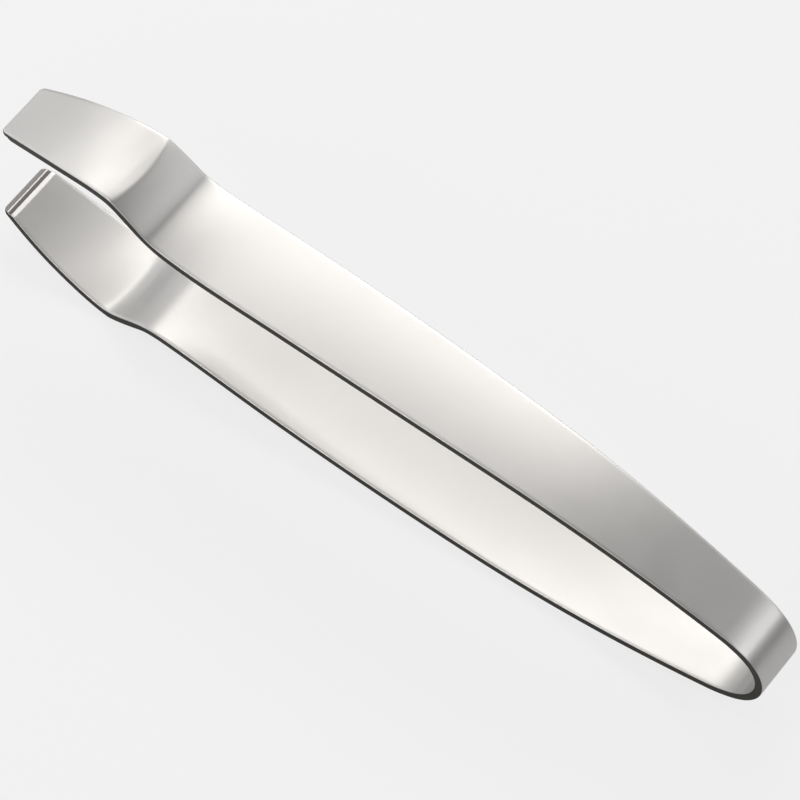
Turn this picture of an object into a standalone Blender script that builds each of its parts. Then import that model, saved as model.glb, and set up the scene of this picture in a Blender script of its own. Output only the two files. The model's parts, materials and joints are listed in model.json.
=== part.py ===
# Fish bone tweezers, bent from one strip of stainless spring steel.
# The strip is folded back on itself in a round bow. From the bow two long arms
# spring apart, draw in at a waist, step out over an arched crease and turn in
# again as broad jaws, whose lips are ground to meet flat when they are pinched.
# The bow and the arms are separate solids, which meet where the strip flexes.
# The tweezers lie on their lower arm, tips towards -X and bow towards +X.

import math

import bpy
import bmesh
from mathutils import Matrix, Vector

# Strip
overall_length = 0.150
sheet_thickness = 0.0015
edge_rounding = 0.0002

# Bow: outer radius of the bend, and how far it turns on each side of its back
bow_radius = 0.0089
bow_half_angle = math.radians(59)

# Flexure, where the bow's shoulder ends and an arm begins
flexure_distance = 0.0090
flexure_height = 0.0096
split_gap = 0.0003

# Arms: heights run from the middle plane to the outer side of the upper arm,
# whose pressed blade is crowned between its edges from the belly to the waist
belly_distance = 0.063
belly_height = 0.0154
waist_height = 0.01405
step_length = 0.0149
crease_arch = 0.00135
crown_height = 0.0002

# Jaws, measured from the tip
jaw_length = 0.0226
crest_height = 0.01888
tip_height = 0.01265
tip_corner_radius = 0.0008

# Ground lips: a flat land that meets its twin, and a hollow relief behind it
lip_length = 0.0022
lip_edge = 0.0005
land_length = 0.0007
hollow_depth = 0.00012
closed_clearance = 0.00015

# Plan outline of the blank
bow_width = 0.0096
widest_width = 0.0160
widest_from_tip = 0.047
tip_width = 0.01044

# Rows between the ends of a span: share of its run, share of its rise, and
# slope as a share of the span's mean slope. The pairs are the slopes at its ends.
flank_shares = [(0.241, 0.484, 1.73), (0.574, 0.888, 0.73)]
flank_end_shares = (2.36, 0.0)
neck_shares = [(0.586, 0.375, 1.46), (0.869, 0.926, 1.65)]
neck_end_shares = (0.0, -0.95)
step_shares = [(0.389, 0.201, 1.09), (0.583, 0.482, 1.76), (0.860, 0.904, 1.24)]
step_end_shares = (0.08, 0.0)
jaw_shares = [(0.469, 0.305, 0.94)]
jaw_end_shares = (0.0, 1.54)
wide_shares = [(0.388, 0.588, 1.38)]
wide_end_shares = (1.51, 0.0)
narrow_shares = [(0.660, 0.327, 1.08)]
narrow_end_shares = (0.0, 2.96)

# Places across the strip, from one edge to the other, with a flat facet at the
# middle, and steps along it
across_shares = [-1.0, -0.78, -0.55, -0.33, -0.11, 0.11, 0.33, 0.55, 0.78, 1.0]
largest_rounding_share = 1 / 3
rounding_steps = 2
bow_steps = 16
shoulder_steps = 5
flank_steps = 20
neck_steps = 17
step_steps = 24
jaw_steps = 16
corner_steps = 5
hollow_steps = 5
shading_angle = math.radians(35)
resting_rounds = 8


def span_rows(start, end, inner_shares, end_shares):
    """Rows of (distance, height, slope) from one named point of an outline to the next."""
    run = end[0] - start[0]
    rise = end[1] - start[1]
    mean = rise / run
    rows = [(start[0], start[1], end_shares[0] * mean)]
    for along, up, slope in inner_shares:
        rows.append((start[0] + along * run, start[1] + up * rise, slope * mean))
    rows.append((end[0], end[1], end_shares[1] * mean))
    return rows


def on_outline(rows, distance):
    """Height and slope of the smooth curve through the rows."""
    for start, end in zip(rows, rows[1:]):
        if distance <= end[0]:
            break
    run = end[0] - start[0]
    u = (distance - start[0]) / run
    height = ((2 * u**3 - 3 * u**2 + 1) * start[1] + (3 * u**2 - 2 * u**3) * end[1]
              + (u**3 - 2 * u**2 + u) * run * start[2] + (u**3 - u**2) * run * end[2])
    slope = ((6 * u**2 - 6 * u) * (start[1] - end[1]) / run
             + (3 * u**2 - 4 * u + 1) * start[2] + (3 * u**2 - 2 * u) * end[2])
    return height, slope


def smooth_share(value):
    """Eases from 0 to 1 as the value goes from 0 to 1."""
    value = min(max(value, 0.0), 1.0)
    return value * value * (3 - 2 * value)


# Side outline of the upper arm's outer side, from the end of the round bow
bow_end_distance = bow_radius * (1 - math.cos(bow_half_angle))
bow_end_height = bow_radius * math.sin(bow_half_angle)
bow_end_slope = 1 / math.tan(bow_half_angle)
crest_distance = overall_length - jaw_length
waist_distance = crest_distance - step_length
flexure = (flexure_distance, flexure_height)
belly = (belly_distance, belly_height)
waist = (waist_distance, waist_height)
crest = (crest_distance, crest_height)
tip = (overall_length, tip_height)
flank_rows = span_rows(flexure, belly, flank_shares, flank_end_shares)
neck_rows = span_rows(belly, waist, neck_shares, neck_end_shares)
step_rows = span_rows(waist, crest, step_shares, step_end_shares)
jaw_rows = span_rows(crest, tip, jaw_shares, jaw_end_shares)
shoulder_start = (bow_end_distance, bow_end_height, bow_end_slope)
side_rows = [shoulder_start] + flank_rows + neck_rows[1:] + step_rows[1:] + jaw_rows[1:]

# Plan outline: half the strip's width
widest_distance = overall_length - widest_from_tip
widest = (widest_distance, widest_width / 2)
wide_rows = span_rows((0.0, bow_width / 2), widest, wide_shares, wide_end_shares)
narrow_rows = span_rows(widest, (overall_length, tip_width / 2), narrow_shares, narrow_end_shares)
plan_rows = wide_rows + narrow_rows[1:]

# The crease is straight at the step's foot and arched most at the crest
step_foot_distance = step_rows[1][0]
jaw_middle_distance = jaw_rows[1][0]


def half_width(distance):
    """Half the strip's width, with the jaw's corners rounded in plan."""
    half = on_outline(plan_rows, distance)[0]
    into_corner = tip_corner_radius - (overall_length - distance)
    if into_corner > 0:
        half -= tip_corner_radius - math.sqrt(tip_corner_radius**2 - into_corner**2)
    return half


def crease_shift(distance, across):
    """How far the crest lies towards the bow here, inside the strip's edges."""
    rising = smooth_share((distance - step_foot_distance) / (crest_distance - step_foot_distance))
    falling = smooth_share((jaw_middle_distance - distance) / (jaw_middle_distance - crest_distance))
    return crease_arch * min(rising, falling) * (1 - across**2)


def bow_angle_station(angle):
    """A place on the round bow: its point and its outward normal in side view."""
    point = Vector((bow_radius * (1 - math.cos(angle)), 0, bow_radius * math.sin(angle)))
    return point, Vector((-math.cos(angle), 0, math.sin(angle)))


def crown(distance, across):
    """How far the pressed blade bulges outwards here, inside the strip's edges."""
    rising = smooth_share((distance - flexure_distance) / (belly_distance - flexure_distance))
    falling = smooth_share((step_foot_distance - distance) / (step_foot_distance - waist_distance))
    return crown_height * min(rising, falling) * (1 - across**2)


def arm_station(distance, across):
    """A place on the upper arm's outer side: its point and its outward normal."""
    height, slope = on_outline(side_rows, distance + crease_shift(distance, across))
    outward = Vector((-slope, 0, 1)).normalized()
    return Vector((distance, 0, height)) + outward * crown(distance, across), outward


# The pinch axis lies mid-sheet at the flexure, and the arm turns about it until
# the land's front edge is the closed clearance short of the middle plane
flexure_point, flexure_normal = arm_station(flexure_distance, 0.0)
pinch_axis = flexure_point - flexure_normal * (sheet_thickness / 2)
land_height = tip_height - lip_edge
land_reach = math.hypot(overall_length - pinch_axis.x, land_height - pinch_axis.z)
closed_angle = (math.asin((pinch_axis.z - closed_clearance) / land_reach)
                + math.atan2(land_height - pinch_axis.z, overall_length - pinch_axis.x))

# The lip's hollow runs out into the sheet's inner side, which lies behind the
# outer side there because the jaw slopes
jaw_slope_angle = math.atan(-jaw_rows[-1][2])
lip_start_distance = overall_length - lip_length + sheet_thickness * math.sin(jaw_slope_angle)
lip_start_point, lip_start_normal = arm_station(lip_start_distance, 0.0)
hollow_end = lip_start_point - lip_start_normal * sheet_thickness
hollow_end_from_tip = overall_length - hollow_end.x


def lip_inner_height(from_tip):
    """Height of the lip's ground side: the land, then the hollow behind it."""
    land_end_height = land_height - math.tan(closed_angle) * land_length
    if from_tip <= land_length:
        return land_height - math.tan(closed_angle) * from_tip
    along = (from_tip - land_length) / (hollow_end_from_tip - land_length)
    straight = land_end_height + along * (hollow_end.z - land_end_height)
    return straight + 4 * hollow_depth * along * (1 - along)


def rounded_edge(top, through, side, flat):
    """Points round one long edge, from a face's flat part to the cut side."""
    depth = min(edge_rounding, through.length * largest_rounding_share)
    points = []
    for index in range(1, rounding_steps + 1):
        turn = math.pi / 2 * index / rounding_steps
        out = Vector((0, side * (flat + edge_rounding * math.sin(turn)), 0))
        points.append(top + out + through.normalized() * depth * (1 - math.cos(turn)))
    return points


def section(outer, inner, half):
    """Ring of points round the strip, with its four long edges rounded off."""
    flat = half - edge_rounding
    ring = [point + Vector((0, share * flat, 0)) for share, point in zip(across_shares, outer)]
    through = inner[-1] - outer[-1]
    ring += rounded_edge(outer[-1], through, 1, flat)
    ring += reversed(rounded_edge(inner[-1], -through, 1, flat))
    for share, point in reversed(list(zip(across_shares, inner))):
        ring.append(point + Vector((0, share * flat, 0)))
    through = inner[0] - outer[0]
    ring += rounded_edge(inner[0], -through, -1, flat)
    ring += reversed(rounded_edge(outer[0], through, -1, flat))
    return ring


def bow_section(angle):
    """Section of the round bow at an angle from its back."""
    point, normal = bow_angle_station(angle)
    inner = point - normal * sheet_thickness
    count = len(across_shares)
    return section([point] * count, [inner] * count, half_width(max(point.x, 0.0)))


def arm_section(distance):
    """Section of the strip past the bow, with the lip's ground side near the tip."""
    outer = []
    inner = []
    for share in across_shares:
        point, normal = arm_station(distance, share)
        outer.append(point)
        if distance <= lip_start_distance:
            inner.append(point - normal * sheet_thickness)
        else:
            through = (overall_length - distance) / (overall_length - lip_start_distance)
            from_tip = through * hollow_end_from_tip
            height = lip_inner_height(from_tip)
            inner.append(Vector((overall_length - from_tip, 0, height)))
    return section(outer, inner, half_width(distance))


def spread(start, end, steps):
    """Evenly spaced places after the start, up to and with the end."""
    return [start + (end - start) * index / steps for index in range(1, steps + 1)]


def lip_places():
    """Places along the lip: the hollow, the land's end and the rounded corners."""
    scale = (overall_length - lip_start_distance) / hollow_end_from_tip
    land_start_distance = overall_length - land_length * scale
    places = spread(lip_start_distance, land_start_distance, hollow_steps)
    for index in range(corner_steps):
        turn = math.pi / 2 * (1 - index / corner_steps)
        places.append(overall_length - tip_corner_radius * (1 - math.cos(turn)))
    places.append(overall_length)
    return sorted(set(places))


def loft(name, rings, material):
    """Closed solid through the rings, capped at both ends."""
    build = bmesh.new()
    loops = [[build.verts.new(point) for point in ring] for ring in rings]
    for near, far in zip(loops, loops[1:]):
        for index in range(len(near)):
            following = (index + 1) % len(near)
            build.faces.new((near[index], near[following], far[following], far[index]))
    build.faces.new(loops[0])
    build.faces.new(reversed(loops[-1]))
    bmesh.ops.recalc_face_normals(build, faces=build.faces)
    mesh = bpy.data.meshes.new(name)
    build.to_mesh(mesh)
    build.free()
    mesh.shade_smooth()
    mesh.set_sharp_from_angle(angle=shading_angle)
    mesh.materials.append(material)
    solid = bpy.data.objects.new(name, mesh)
    bpy.context.collection.objects.link(solid)
    return solid


def steel(name, roughness):
    """Satin stainless steel."""
    material = bpy.data.materials.new(name)
    material.use_nodes = True
    shader = material.node_tree.nodes["Principled BSDF"]
    shader.inputs["Base Color"].default_value = (0.63, 0.62, 0.60, 1.0)
    shader.inputs["Metallic"].default_value = 1.0
    shader.inputs["Roughness"].default_value = roughness
    return material


def mirrored(rings):
    """The same sections on the lower side of the middle plane."""
    return [[Vector((point.x, point.y, -point.z)) for point in ring] for ring in rings]


def placed(rings, origin):
    """Sections in an object's own axes, where +X runs from the tips to the bow."""
    return [[Vector((origin.x - point.x, point.y, point.z - origin.z)) for point in ring]
            for ring in rings]


# Start from an empty scene
for leftover in list(bpy.data.objects):
    bpy.data.objects.remove(leftover, do_unlink=True)

# Sections of the upper half, from the bow's back to the flexure
half_gap = split_gap / 2 * flexure_normal.z
shoulder_end_distance = flexure_distance - half_gap
arm_start_distance = flexure_distance + half_gap
bow_rings = [bow_section(angle) for angle in spread(0.0, bow_half_angle, bow_steps)]
shoulder_places = spread(bow_end_distance, shoulder_end_distance, shoulder_steps)
bow_rings += [arm_section(distance) for distance in shoulder_places]

# Sections of an arm, from the flexure to the tip
arm_places = [arm_start_distance]
arm_places += spread(arm_start_distance, belly_distance, flank_steps)
arm_places += spread(belly_distance, waist_distance, neck_steps)
arm_places += spread(waist_distance, crest_distance, step_steps)
arm_places += spread(crest_distance, lip_start_distance, jaw_steps)
arm_places += lip_places()
arm_rings = [arm_section(distance) for distance in arm_places]

# The tweezers rest on the lower arm's belly and on its jaw's crest
inmost_share = min(across_shares, key=abs)
middle_line = [arm_station(distance, inmost_share)[0] for distance in arm_places]
support_points = [(point.x, -point.z) for point in middle_line]
belly_side = [point for point in support_points if point[0] < waist_distance]
jaw_side = [point for point in support_points if point[0] > waist_distance]
rest_tilt = 0.0
for resting_round in range(resting_rounds):
    lean = math.sin(rest_tilt), math.cos(rest_tilt)
    low_belly = min(belly_side, key=lambda point: point[0] * lean[0] + point[1] * lean[1])
    low_jaw = min(jaw_side, key=lambda point: point[0] * lean[0] + point[1] * lean[1])
    rest_tilt = math.atan2(low_belly[1] - low_jaw[1], low_jaw[0] - low_belly[0])

# An empty tips the whole object onto those two lines, with its lowest point at
# height zero and the middle of its length over the origin
middle_plane = bpy.data.objects.new("middle_plane", None)
bpy.context.collection.objects.link(middle_plane)
turn = Matrix.Rotation(rest_tilt, 3, "Y")
all_points = [turn @ Vector((-point.x, point.y, point.z))
              for rings in (bow_rings, arm_rings, mirrored(bow_rings), mirrored(arm_rings))
              for ring in rings for point in ring]
lowest = min(point.z for point in all_points)
tip_end = min(point.x for point in all_points)
bow_end = max(point.x for point in all_points)
middle_plane.rotation_euler = (0, rest_tilt, 0)
middle_plane.location = (-(tip_end + bow_end) / 2, 0, -lowest)

# Bow: both shoulders and the round bend between them, as one spring
bow_path = list(reversed(mirrored(bow_rings))) + [bow_section(0.0)] + bow_rings
spring_bow = loft("spring_bow", placed(bow_path, Vector((0, 0, 0))), steel("bow_steel", 0.30))
spring_bow.parent = middle_plane

# Arms: each hangs from an empty on its own pinch axis
for name, sign, rings in (("upper_arm", 1, arm_rings), ("lower_arm", -1, mirrored(arm_rings))):
    origin = Vector((pinch_axis.x, 0, sign * pinch_axis.z))
    pivot = bpy.data.objects.new(name + "_pinch_axis", None)
    bpy.context.collection.objects.link(pivot)
    pivot.location = (-origin.x, 0, origin.z)
    pivot.parent = middle_plane
    arm = loft(name, placed(rings, origin), steel(name + "_steel", 0.27))
    arm.parent = pivot
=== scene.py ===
# Fish bone tweezers in satin stainless steel, photographed on a pale studio floor.
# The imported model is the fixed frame. It splits the strip where it flexes, so the
# pieces here are the same strip drawn finely, and they meet there without a gap.

import json
import math

import bpy
from mathutils import Matrix, Vector


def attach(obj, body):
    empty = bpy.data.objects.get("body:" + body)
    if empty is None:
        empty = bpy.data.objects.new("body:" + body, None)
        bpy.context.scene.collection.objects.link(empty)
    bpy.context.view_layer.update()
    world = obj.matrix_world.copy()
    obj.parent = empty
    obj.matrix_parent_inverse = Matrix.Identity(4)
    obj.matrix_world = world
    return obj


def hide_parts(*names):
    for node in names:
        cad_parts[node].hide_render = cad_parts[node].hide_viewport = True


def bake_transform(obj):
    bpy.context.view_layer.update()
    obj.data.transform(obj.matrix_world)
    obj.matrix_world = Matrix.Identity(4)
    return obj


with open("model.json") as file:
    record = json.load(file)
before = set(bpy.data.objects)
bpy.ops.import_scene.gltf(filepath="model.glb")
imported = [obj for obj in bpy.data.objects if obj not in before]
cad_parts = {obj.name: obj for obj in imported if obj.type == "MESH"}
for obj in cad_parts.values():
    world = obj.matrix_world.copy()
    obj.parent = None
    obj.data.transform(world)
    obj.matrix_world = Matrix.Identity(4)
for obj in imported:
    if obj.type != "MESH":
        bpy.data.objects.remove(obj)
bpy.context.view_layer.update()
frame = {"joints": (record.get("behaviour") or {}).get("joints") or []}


# Bow: the round bend at the back of the strip and its two shoulders, which work as the
# spring. It is 1.5 mm stainless strip, bent once round a mandrel and tumbled to a satin
# finish, with sheared edges that were only rounded off.

sheet_thickness = 0.0015
edge_rounding = 0.0002
bow_radius = 0.0089
bow_half_angle = math.radians(59)
bow_width = 0.0096
flexure_distance = 0.0090
flexure_height = 0.0096
flexure_slope = 0.2535
widest_width = 0.0160
widest_distance = 0.103

# Shares of the way along and up between two named points of an outline, and of the mean
# slope there. The end shares are the slopes at the two points themselves
widening_shares = [(0.388, 0.588, 1.38)]
widening_end_shares = (1.51, 0.0)

faces_across = 28
rounding_steps = 6
cut_side_steps = 4
largest_rounding_share = 1 / 3
bow_steps = 90
shoulder_steps = 26
crisp_angle = math.radians(35)


def span_rows(start, end, inner_shares, end_shares):
    """Rows of (distance, height, slope) from one named point of an outline to the next."""
    run = end[0] - start[0]
    rise = end[1] - start[1]
    mean = rise / run
    rows = [(start[0], start[1], end_shares[0] * mean)]
    for along, up, slope in inner_shares:
        rows.append((start[0] + along * run, start[1] + up * rise, slope * mean))
    rows.append((end[0], end[1], end_shares[1] * mean))
    return rows


def on_outline(rows, distance):
    """Height and slope of the smooth curve through the rows."""
    for start, end in zip(rows, rows[1:]):
        if distance <= end[0]:
            break
    run = end[0] - start[0]
    u = (distance - start[0]) / run
    height = ((2 * u**3 - 3 * u**2 + 1) * start[1] + (3 * u**2 - 2 * u**3) * end[1]
              + (u**3 - 2 * u**2 + u) * run * start[2] + (u**3 - u**2) * run * end[2])
    slope = ((6 * u**2 - 6 * u) * (start[1] - end[1]) / run
             + (3 * u**2 - 4 * u + 1) * start[2] + (3 * u**2 - 2 * u) * end[2])
    return height, slope


def spread(start, end, steps):
    """Evenly spaced places after the start, up to and with the end."""
    return [start + (end - start) * index / steps for index in range(1, steps + 1)]


def cut_side(outer, inner, side, flat):
    """Points round one long edge, from the outer face to the inner one."""
    through = inner - outer
    rounding_share = min(edge_rounding / through.length, largest_rounding_share)
    turns = spread(0.0, math.pi / 2, rounding_steps)
    corner = [(rounding_share * (1 - math.cos(turn)), math.sin(turn)) for turn in turns]
    straight = [(share, 1.0)
                for share in spread(rounding_share, 1 - rounding_share, cut_side_steps)[:-1]]
    far_corner = [(1 - share, out) for share, out in reversed(corner)]
    points = []
    for share, out in corner + straight + far_corner:
        across = side * (flat + edge_rounding * out)
        points.append((outer + through * share, across, share))
    return points


def section(outer, inner, half):
    """One ring round the strip: each point, its place across and its share of the way through."""
    flat = half - edge_rounding
    places = [-flat + 2 * flat * index / faces_across for index in range(faces_across + 1)]
    ring = [(point, across, 0.0) for point, across in zip(outer, places)]
    ring += cut_side(outer[-1], inner[-1], 1, flat)
    ring += [(point, across, 1.0) for point, across in reversed(list(zip(inner, places)))]
    ring += reversed(cut_side(outer[0], inner[0], -1, flat))
    return ring


def shoulder_section(distance):
    """Section of the shoulder, square to its outer side."""
    height, slope = on_outline(shoulder_rows, distance)
    point = Vector((distance, 0, height))
    inner = point - Vector((-slope, 0, 1)).normalized() * sheet_thickness
    count = faces_across + 1
    return section([point] * count, [inner] * count, on_outline(widening_rows, distance)[0])


def bow_section(angle):
    """Section of the round bend at an angle from its back."""
    outward = Vector((-math.cos(angle), 0, math.sin(angle)))
    point = Vector((bow_radius, 0, 0)) + outward * bow_radius
    inner = point - outward * sheet_thickness
    count = faces_across + 1
    half = on_outline(widening_rows, max(point.x, 0.0))[0]
    return section([point] * count, [inner] * count, half)


def below(rings):
    """The same sections on the lower side of the middle plane."""
    return [[(Vector((point.x, point.y, -point.z)), across, share)
             for point, across, share in ring] for ring in rings]


# The strip's own axes: the two pinch axes mirror each other about the middle plane
pinches = {joint["child"]: Vector(joint["pos_m"]) for joint in frame["joints"]}
upwards = (pinches["upper_arm"] - pinches["lower_arm"]).normalized()
backwards = Vector((0, 1, 0)).cross(upwards)
flexure_normal = Vector((-flexure_slope, 0, 1)).normalized()
pinch_distance = flexure_distance - flexure_normal.x * sheet_thickness / 2
bow_back = (pinches["upper_arm"] + pinches["lower_arm"]) / 2 + backwards * pinch_distance


def in_frame(distance, across, height):
    """A place of the strip, in the frame."""
    return bow_back - backwards * distance + Vector((0, across, 0)) + upwards * height


def strip_piece(name, rings, groove_shade=None):
    """Closed piece of strip through the rings, where each point keeps its place on the strip."""
    size = len(rings[0])
    points = []
    places = []
    point_groove_shades = []
    travelled = 0.0
    for index, ring in enumerate(rings):
        if index:
            travelled += (ring[0][0] - rings[index - 1][0][0]).length
        for point, across, share in ring:
            points.append(in_frame(point.x, point.y + across, point.z))
            places += [travelled, across, share * sheet_thickness]
            # Points on the inner side take the painted shade of the lip's grooves
            point_groove_shades.append(groove_shade[index] if groove_shade and share == 1.0 else 0.0)
    faces = [list(reversed(range(size))), list(range(len(points) - size, len(points)))]
    for start in range(0, len(points) - size, size):
        for index in range(size):
            following = (index + 1) % size
            faces.append([start + index, start + following,
                          start + size + following, start + size + index])
    mesh = bpy.data.meshes.new(name)
    mesh.from_pydata(points, [], faces)
    strip_place = mesh.attributes.new("strip_place", "FLOAT_VECTOR", "POINT")
    strip_place.data.foreach_set("vector", places)
    mesh.attributes.new("groove_shade", "FLOAT", "POINT").data.foreach_set("value", point_groove_shades)
    mesh.shade_smooth()
    mesh.set_sharp_from_angle(angle=crisp_angle)
    piece = bpy.data.objects.new(name, mesh)
    bpy.context.collection.objects.link(piece)
    return piece


bow_end_distance = bow_radius * (1 - math.cos(bow_half_angle))
bow_end = (bow_end_distance, bow_radius * math.sin(bow_half_angle), 1 / math.tan(bow_half_angle))
shoulder_rows = [bow_end, (flexure_distance, flexure_height, flexure_slope)]
widening_rows = span_rows((0.0, bow_width / 2), (widest_distance, widest_width / 2),
                          widening_shares, widening_end_shares)
upper_half = [bow_section(angle) for angle in spread(0.0, bow_half_angle, bow_steps)]
upper_half += [shoulder_section(distance)
               for distance in spread(bow_end_distance, flexure_distance, shoulder_steps)]
bow_rings = list(reversed(below(upper_half))) + [bow_section(0.0)] + upper_half
bow = strip_piece("round_bow", bow_rings)

face_colour = (0.60, 0.589, 0.576, 1.0)
# Near-black colour of the sheared edges: painted shade standing in for the dark floor that they
# reflect; only their added roughness is the sheared steel itself
cut_shade_colour = (0.040, 0.038, 0.032, 1.0)
# Darker colour inside the lip's grooves: painted shade where their hollows fall dark
groove_shade_colour = (0.11, 0.105, 0.10, 1.0)
face_roughness = 0.305
grain_roughness = 0.05
cloud_roughness = 0.06
cut_roughness = 0.10
cloud_scale = 160.0
cloud_detail = 2.0
grain_detail = 3.0
grain_bump = 0.12
grain_height = 0.00002

# Grains per metre along, across and through the strip
grain_fineness = (180.0, 5200.0, 5200.0)

# Shares of the edge's rounding where the face ends and where the cut side is full
cut_start_share = 0.03
cut_full_share = 0.6

# Places of a Mix node's colour sockets, which share their names with its other sockets
mix_under, mix_over, mix_result = 6, 7, 2


class Socket:
    """A value in a material's node tree, so that its maths reads as plain Python."""

    def __init__(self, maker, output):
        self.maker = maker
        self.output = output

    def _math(self, operation, first, second):
        return self.maker.node("ShaderNodeMath", {"operation": operation}, {0: first, 1: second})

    def __add__(self, other):
        return self._math("ADD", self, other)

    def __sub__(self, other):
        return self._math("SUBTRACT", self, other)

    def __rsub__(self, other):
        return self._math("SUBTRACT", other, self)

    def __mul__(self, other):
        return self._math("MULTIPLY", self, other)

    __radd__ = __add__
    __rmul__ = __mul__

    def least(self, other):
        return self._math("MINIMUM", self, other)


class Maker:
    """Adds nodes to one material or world."""

    def __init__(self, owner):
        owner.use_nodes = True
        self.tree = owner.node_tree
        self.tree.nodes.clear()

    def node(self, kind, settings=None, values=None, output=0):
        """Adds a node and gives it its settings, and then its sockets' values or links."""
        made = self.tree.nodes.new(kind)
        for name, value in (settings or {}).items():
            setattr(made, name, value)
        for name, value in (values or {}).items():
            if isinstance(value, Socket):
                self.tree.links.new(value.output, made.inputs[name])
            else:
                made.inputs[name].default_value = value
        return Socket(self, made.outputs[output]) if made.outputs else None


def satin_steel(name):
    """Tumbled stainless steel. Its sheared edges are rougher and coloured near black, and the
    lip's grooves are coloured darker, both as painted shade.
    """
    material = bpy.data.materials.new(name)
    maker = Maker(material)
    place = maker.node("ShaderNodeAttribute", {"attribute_name": "strip_place"}, output="Vector")
    # How much painted shade of the lip's grooves each point takes
    groove_shade = maker.node("ShaderNodeAttribute", {"attribute_name": "groove_shade"}, output="Fac")
    through = maker.node("ShaderNodeSeparateXYZ", None, {0: place}, output="Z")
    from_face = through.least(sheet_thickness - through)
    cut = maker.node("ShaderNodeMapRange", {"interpolation_type": "SMOOTHSTEP"},
                     {"Value": from_face, "From Min": cut_start_share * edge_rounding,
                      "From Max": cut_full_share * edge_rounding})
    grain_place = maker.node("ShaderNodeVectorMath", {"operation": "MULTIPLY"},
                             {0: place, 1: grain_fineness})
    grain = maker.node("ShaderNodeTexNoise", None,
                       {"Vector": grain_place, "Scale": 1.0, "Detail": grain_detail})
    cloud = maker.node("ShaderNodeTexNoise", None,
                       {"Vector": place, "Scale": cloud_scale, "Detail": cloud_detail})
    # Painted shade: the sheared edges are coloured near black
    colour = maker.node("ShaderNodeMix", {"data_type": "RGBA"},
                        {"Factor": cut, mix_under: face_colour, mix_over: cut_shade_colour},
                        output=mix_result)
    # Painted shade: the lip's grooves are coloured darker
    colour = maker.node("ShaderNodeMix", {"data_type": "RGBA"},
                        {"Factor": groove_shade, mix_under: colour, mix_over: groove_shade_colour},
                        output=mix_result)
    roughness = (face_roughness + grain_roughness * grain + cloud_roughness * cloud
                 + cut_roughness * cut)
    bump = maker.node("ShaderNodeBump", None,
                      {"Strength": grain_bump, "Distance": grain_height, "Height": grain})
    shader = maker.node("ShaderNodeBsdfPrincipled", None,
                        {"Base Color": colour, "Metallic": 1.0, "Roughness": roughness,
                         "Normal": bump})
    maker.node("ShaderNodeOutputMaterial", None, {"Surface": shader})
    return material


steel = satin_steel("satin_steel")
bow.data.materials.append(steel)
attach(bow, "spring_bow")
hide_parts("spring_bow")


# Arms: each is the rest of the same strip. It swells to a belly, draws in at a waist, steps
# out over a crease that the press left arched, and turns in again as a broad jaw, whose lip
# is ground from the inside to a flat land with two fine grooves.

overall_length = 0.150
belly_distance = 0.063
belly_height = 0.0154
waist_height = 0.01405
step_length = 0.0149
crease_arch = 0.00150
jaw_length = 0.0226
crest_height = 0.01888
tip_height = 0.01265
tip_width = 0.01044
tip_corner_radius = 0.0008
tip_rounding = 0.00016
lip_length = 0.0025
lip_edge = 0.0005
bend_length = 0.010

# Each groove's distance from the tip, its width and its depth, and each wall's share of it
lip_grooves = [(0.00040, 0.00096, 0.00010), (0.00140, 0.00076, 0.00012)]
groove_wall_share = 1 / 4

# How far to each side the punch softens the inner side, and the places averaged there
punch_rounding = 0.0021
punch_shares = (-1.0, -0.67, -0.33, 0.0, 0.33, 0.67, 1.0)

# Distance along the strip, and how far the sheet bulges outwards there
crown_rows = [(0.009, 0.0), (0.045, 0.00008), (0.105, 0.00006), (0.1145, 0.00017),
              (0.119, 0.00012), (0.1247, -0.00023), (0.1272, -0.00002), (0.132, 0.00008),
              (0.141, -0.00003), (0.150, -0.00004)]

flank_shares = [(0.241, 0.484, 1.73), (0.574, 0.888, 0.73)]
flank_end_shares = (2.36, 0.0)
neck_shares = [(0.586, 0.375, 1.46), (0.869, 0.926, 1.65)]
neck_end_shares = (0.0, -0.95)
step_shares = [(0.302, 0.070, 0.60), (0.403, 0.147, 1.05), (0.470, 0.248, 1.74),
               (0.592, 0.474, 1.86), (0.880, 0.944, 1.36), (0.948, 0.9960, 0.12)]
step_end_shares = (0.08, 0.0)
jaw_shares = [(0.469, 0.305, 0.94)]
jaw_end_shares = (0.0, 1.54)
narrowing_shares = [(0.660, 0.327, 1.08)]
narrowing_end_shares = (0.0, 2.96)

first_row = 0.0001
row_growth = 1.35
row_spacing = 0.00035
lip_row_spacing = 0.00002

crest_distance = overall_length - jaw_length
waist = (crest_distance - step_length, waist_height)
belly = (belly_distance, belly_height)
crest = (crest_distance, crest_height)
step_rows = span_rows(waist, crest, step_shares, step_end_shares)
jaw_rows = span_rows(crest, (overall_length, tip_height), jaw_shares, jaw_end_shares)
flank_rows = span_rows((flexure_distance, flexure_height), belly, flank_shares, flank_end_shares)
neck_rows = span_rows(belly, waist, neck_shares, neck_end_shares)
side_rows = flank_rows + neck_rows[1:] + step_rows[1:] + jaw_rows[1:]
narrowing_rows = span_rows((widest_distance, widest_width / 2), (overall_length, tip_width / 2),
                           narrowing_shares, narrowing_end_shares)
plan_rows = widening_rows + narrowing_rows[1:]


def smooth_share(value):
    """Eases from 0 to 1 as the value goes from 0 to 1."""
    value = min(max(value, 0.0), 1.0)
    return value * value * (3 - 2 * value)


def rounded_off(radius, distance):
    """How far a corner of this radius at the tip stands back here."""
    into_corner = min(max(radius - (overall_length - distance), 0.0), radius)
    return radius - math.sqrt(radius**2 - into_corner**2)


def half_width(distance):
    """Half the strip's width, with the jaw's corners rounded in plan."""
    return on_outline(plan_rows, distance)[0] - rounded_off(tip_corner_radius, distance)


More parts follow.
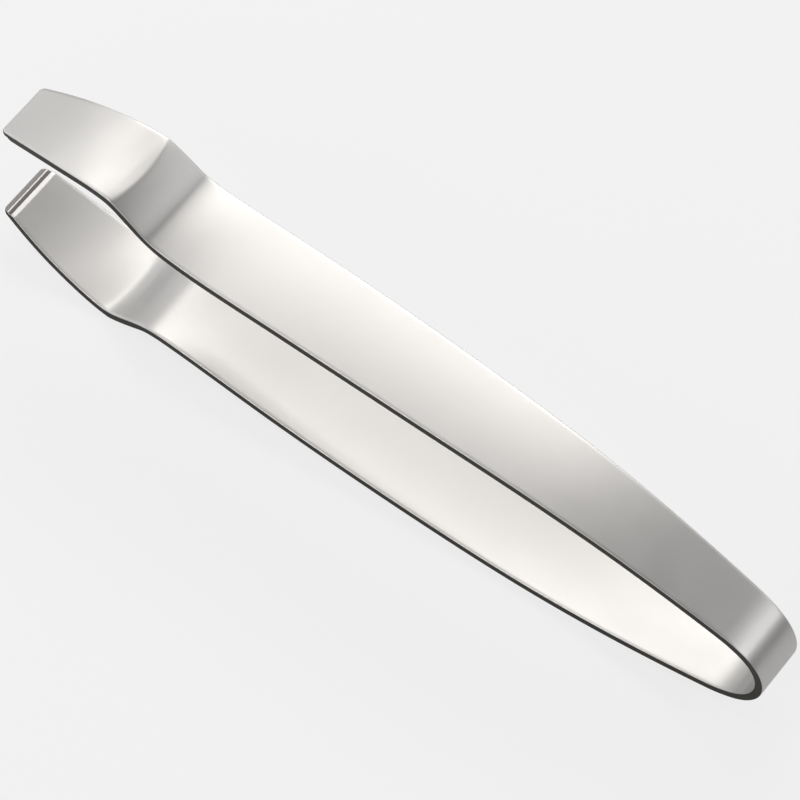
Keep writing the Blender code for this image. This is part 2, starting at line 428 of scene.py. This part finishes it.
def crease_shift(distance, across_share):
    """How far the crest lies towards the bow here, inside the strip's edges."""
    rising = smooth_share((distance - step_rows[2][0]) / (crest_distance - step_rows[2][0]))
    falling = smooth_share((jaw_rows[1][0] - distance) / (jaw_rows[1][0] - crest_distance))
    return crease_arch * min(rising, falling) * (1 - across_share**2)


def crown(distance, across_share):
    """How far the pressed sheet bulges outwards here, between its edges."""
    for (start, low), (end, high) in zip(crown_rows, crown_rows[1:]):
        if distance <= end:
            break
    height = low + (high - low) * smooth_share((distance - start) / (end - start))
    return height * (1 - across_share**2)


def arm_station(distance, across_share):
    """A place on the arm's outer side: its point and its outward normal."""
    height, slope = on_outline(side_rows, distance + crease_shift(distance, across_share))
    outward = Vector((-slope, 0, 1)).normalized()
    return Vector((distance, 0, height)) + outward * crown(distance, across_share), outward


# The lip's ground side runs straight from its thin front edge to the full sheet
land_height = tip_height - lip_edge
jaw_slope_angle = math.atan(-jaw_rows[-1][2])
lip_start_distance = overall_length - lip_length + sheet_thickness * math.sin(jaw_slope_angle)
lip_start, lip_start_normal = arm_station(lip_start_distance, 0.0)
land_end = lip_start - lip_start_normal * sheet_thickness
land_end_from_tip = overall_length - land_end.x
land_drop = (land_height - land_end.z) / land_end_from_tip


def groove_depth(from_tip):
    """Depth of the lip's fine grooves at this distance from the tip."""
    return sum(depth * smooth_share((width / 2 - abs(from_tip - middle))
                                    / (groove_wall_share * width))
               for middle, width, depth in lip_grooves)


def lip_from_tip(distance):
    """Distance from the tip on the lip's ground side, for one on its outer side."""
    share = (overall_length - distance) / (overall_length - lip_start_distance)
    return share * land_end_from_tip


def arm_inner(distance, across_share):
    """A place on the arm's inner side, where the press left the bends rounder."""
    reach = min(punch_rounding, distance - flexure_distance, lip_start_distance - distance)
    total = Vector((0, 0, 0))
    for share in punch_shares:
        point, normal = arm_station(distance + share * reach, across_share)
        total += point - normal * sheet_thickness
    return total / len(punch_shares)


def arm_section(distance):
    """Section of the arm, with the lip's ground side near the tip."""
    outer = []
    inner = []
    for index in range(faces_across + 1):
        across_share = 2 * index / faces_across - 1
        outer.append(arm_station(distance, across_share)[0])
        if distance <= lip_start_distance:
            inner.append(arm_inner(distance, across_share))
        else:
            from_tip = lip_from_tip(distance)
            height = land_height - land_drop * from_tip + groove_depth(from_tip)
            inner.append(Vector((overall_length - from_tip, 0, height)))
    if distance > overall_length - tip_rounding:
        inset = Vector((0, 0, rounded_off(tip_rounding, distance)))
        outer = [point - inset for point in outer]
        inner = [point + inset for point in inner]
    return section(outer, inner, half_width(distance))


arm_places = [flexure_distance]
row = first_row
while arm_places[-1] + row < lip_start_distance:
    arm_places.append(arm_places[-1] + row)
    row = min(row * row_growth, row_spacing)
arm_places += spread(lip_start_distance, overall_length - tip_rounding,
                     round((overall_length - lip_start_distance) / lip_row_spacing))
arm_places += [overall_length - tip_rounding * (1 - math.sin(turn))
               for turn in spread(0.0, math.pi / 2, rounding_steps)]
arm_rings = [arm_section(distance) for distance in arm_places]
# How deep each ring lies in a lip groove sets how much painted shade it takes
deepest = max(depth for _, _, depth in lip_grooves)
arm_groove_shade = [groove_depth(lip_from_tip(distance)) / deepest for distance in arm_places]
bend_start = (flexure_distance, 0.0, flexure_height)
bend_end_distance = flexure_distance + bend_length
bend_end = (bend_end_distance, 0.0, on_outline(side_rows, bend_end_distance)[0])

for arm_name, sign, rings, groove_shade in (
        ("upper_arm", 1, arm_rings, arm_groove_shade),
        ("lower_arm", -1, below(reversed(arm_rings)), arm_groove_shade[::-1])):
    arm = strip_piece(arm_name.replace("arm", "blade"), rings, groove_shade)
    arm.data.materials.append(steel)
    in_frame(bend_start[0], 0.0, sign * bend_start[2])
    in_frame(bend_end[0], 0.0, sign * bend_end[2])
    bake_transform(arm)
    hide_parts(arm_name)


# Floor: a broad pale studio floor, nearly white to the eye and greyer in the steel, that
# keeps a soft shadow of the tweezers.

floor_radius = 3.0
floor_sides = 96
floor_gap = 0.00005
paper_colour = (0.52, 0.52, 0.52, 1.0)
pure_white = (1.0, 1.0, 1.0, 1.0)
seen_white_share = 0.76
mirrored_white_share = 0.30

rim = []
for side in range(floor_sides):
    angle = 2 * math.pi * side / floor_sides
    rim.append((floor_radius * math.cos(angle), floor_radius * math.sin(angle), -floor_gap))
floor_mesh = bpy.data.meshes.new("studio_floor")
floor_mesh.from_pydata(rim, [], [list(range(floor_sides))])
floor = bpy.data.objects.new("studio_floor", floor_mesh)
bpy.context.collection.objects.link(floor)
paper = bpy.data.materials.new("white_paper")
maker = Maker(paper)
seen = maker.node("ShaderNodeLightPath", output="Is Camera Ray")
mirrored = (maker.node("ShaderNodeLightPath", output="Is Glossy Ray")
            + maker.node("ShaderNodeLightPath", output="Is Transmission Ray"))
white_share = seen * seen_white_share + mirrored * mirrored_white_share
lit = maker.node("ShaderNodeBsdfDiffuse", None, {"Color": paper_colour})
white = maker.node("ShaderNodeEmission", None, {"Color": pure_white, "Strength": 1.0})
surface = maker.node("ShaderNodeMixShader", None, {0: white_share, 1: lit, 2: white})
maker.node("ShaderNodeOutputMaterial", None, {"Surface": surface})
floor_mesh.materials.append(paper)


# Light: soft lamps aimed at the tweezers, in a dim grey studio. The first five draw the
# bands of light that the steel shows from above, and the near-side softbox and the two
# low panels light it from the other sides.

lamp_distance = 0.45
aim = Vector((0.0, 0.0, 0.015))
plain_light = (1.0, 1.0, 1.0)
warmth = {"softbox": (1.0, 0.985, 0.965)}
studio_colour = (0.18, 0.18, 0.18, 1.0)

# Degrees over towards the bow and aside towards the far side, degrees wide and high,
# degrees turned, and brightness
lamps = {
    "softbox": (-24.3, 38.3, 46.2, 29.1, 9.6, 2.76),
    "tip_panel": (-53.3, 5.4, 52.2, 28.8, -9.6, 1.22),
    "bow_lamp": (56.9, 7.7, 11.0, 19.8, 2.4, 3.50),
    "overhead_lamp": (-13.9, -12.6, 15.9, 8.2, 23.0, 8.80),
    "back_panel": (24.0, 41.8, 75.5, 15.5, -24.0, 1.35),
    "front_softbox": (-12.0, -52.0, 70.0, 36.0, 0.0, 1.40),
    "near_panel": (0.0, -74.0, 110.0, 24.0, 0.0, 0.80),
    "far_panel": (0.0, 76.0, 110.0, 22.0, 0.0, 0.70),
}
for lamp_name, (over, aside, wide, high, turn, brightness) in lamps.items():
    light = bpy.data.lights.new(lamp_name, "AREA")
    light.shape = "RECTANGLE"
    light.color = warmth.get(lamp_name, plain_light)
    light.size = 2 * lamp_distance * math.tan(math.radians(wide) / 2)
    light.size_y = 2 * lamp_distance * math.tan(math.radians(high) / 2)
    light.energy = brightness * math.pi * light.size * light.size_y
    lamp = bpy.data.objects.new(lamp_name, light)
    bpy.context.collection.objects.link(lamp)
    facing = (Matrix.Rotation(math.radians(over), 3, "Y")
              @ Matrix.Rotation(-math.radians(aside), 3, "X")
              @ Matrix.Rotation(math.radians(turn), 3, "Z"))
    lamp.location = aim + facing @ Vector((0.0, 0.0, lamp_distance))
    lamp.rotation_euler = facing.to_euler()
    lamp.visible_camera = False

studio = bpy.data.worlds.new("studio")
bpy.context.scene.world = studio
maker = Maker(studio)
glow = maker.node("ShaderNodeBackground", None, {"Color": studio_colour, "Strength": 1.0})
maker.node("ShaderNodeOutputWorld", None, {"Surface": glow})

bpy.context.scene.view_settings.view_transform = "Standard"


# Camera: a long lens that looks down from the near side, beyond the bow, and is turned so
# that the tweezers lie across its frame from the upper left to the lower right.

lens = 223.7
camera_place = (0.22262, -0.31862, 0.70166)
camera_right = Vector((0.80130, 0.59793, 0.01985))
camera_up = Vector((-0.52792, 0.69109, 0.49367))

camera_data = bpy.data.cameras.new("camera")
camera_data.lens = lens
camera = bpy.data.objects.new("camera", camera_data)
bpy.context.collection.objects.link(camera)
turned = Matrix((camera_right, camera_up, camera_right.cross(camera_up))).transposed()
camera.rotation_euler = turned.to_euler()
camera.location = camera_place
bpy.context.scene.camera = camera
